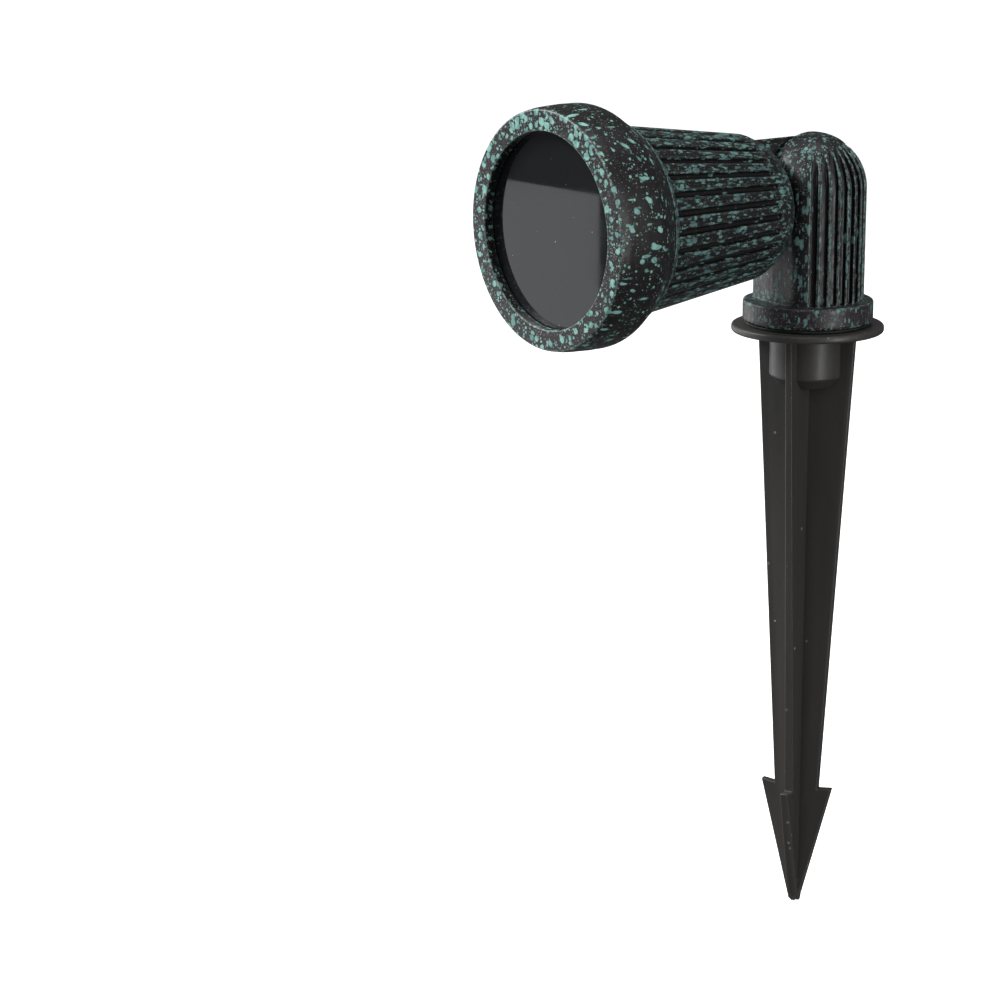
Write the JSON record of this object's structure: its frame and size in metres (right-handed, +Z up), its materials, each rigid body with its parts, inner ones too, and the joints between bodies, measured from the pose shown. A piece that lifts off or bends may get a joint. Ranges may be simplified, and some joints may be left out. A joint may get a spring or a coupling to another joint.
{
  "type": "garden spotlight on a ground stake",
  "caption": "Ribbed cast garden spotlight with a screw-on front ring and glass, on a tilting lap-joint elbow and a four-fin ground stake.",
  "frame": {"origin": "on the stake's axis at the underside of its flange, which is the ground line", "axes": "+Z up along the stake's axis; the lamp head points along -Y; the knuckle's tilt axis is along X, with its clamp screw on the -X side"},
  "size_m": [0.0842, 0.1519, 0.3191],
  "materials": {
    "splatter_paint": "satin near-black paint with verdigris splatter",
    "stake_plastic": "black moulded plastic with a fine grain",
    "seal_rubber": "black rubber",
    "plated_steel": "zinc-plated steel",
    "contact_brass": "bare brass",
    "clear_glass": "tempered glass with a grey cast",
    "reflector_mirror": "faceted aluminised reflector",
    "lamp_ceramic": "unglazed ceramic"
  },
  "bodies": {
    "stake": {"ground_stake": "stake_plastic", "cord_grommet": "seal_rubber"},
    "elbow": {"elbow_base": "splatter_paint", "threaded_stem": "plated_steel", "collar_gasket": "seal_rubber", "friction_ring": "seal_rubber", "pivot_nut": "plated_steel"},
    "clamp_screw": {"pivot_screw": "plated_steel"},
    "head": {"head_housing": "splatter_paint", "spring_washer": "plated_steel", "housing_seal": "seal_rubber", "lamp_holder": "lamp_ceramic", "holder_bracket": "plated_steel", "bracket_screw_1": "plated_steel", "bracket_screw_2": "plated_steel"},
    "lens": {"lens_glass": "clear_glass", "lens_gasket": "seal_rubber"},
    "front_ring": {"bezel_ring": "splatter_paint"},
    "lamp": {"lamp_reflector": "reflector_mirror", "lamp_cover_glass": "clear_glass", "lamp_base": "lamp_ceramic", "lamp_burner": "clear_glass", "lamp_pin_1": "contact_brass", "lamp_pin_2": "contact_brass"}
  },
  "joints": [
    {"name": "swivel", "type": "hinge", "parent": "stake", "child": "elbow", "pos_m": [0, 0, 0.004], "axis": [0, 0, 1], "range_deg": [-180, 180]},
    {"name": "tilt", "type": "hinge", "parent": "elbow", "child": "head", "pos_m": [0, 0, 0.053], "axis": [1, 0, 0], "range_deg": [-100, 12]},
    {"name": "clamp_screw_turn", "type": "hinge", "parent": "elbow", "child": "clamp_screw", "pos_m": [-0.016, 0, 0.053], "axis": [1, 0, 0], "continuous": true},
    {"name": "lens_lift", "type": "slide", "parent": "head", "child": "lens", "axis": [0, -1, 0], "range_m": [0, 0.0061]},
    {"name": "front_ring_turn", "type": "hinge", "parent": "lens", "child": "front_ring", "pos_m": [0, -0.11, 0.049], "axis": [0, -1, 0], "range_deg": [0, 720]},
    {"name": "lamp_pull", "type": "slide", "parent": "head", "child": "lamp", "axis": [0, -1, 0], "range_m": [0, 0.0075]}
  ],
  "couplings": [
    {"joint": "lens_lift", "follows": "front_ring_turn", "m_per_rad": 0.00047746}
  ]
}
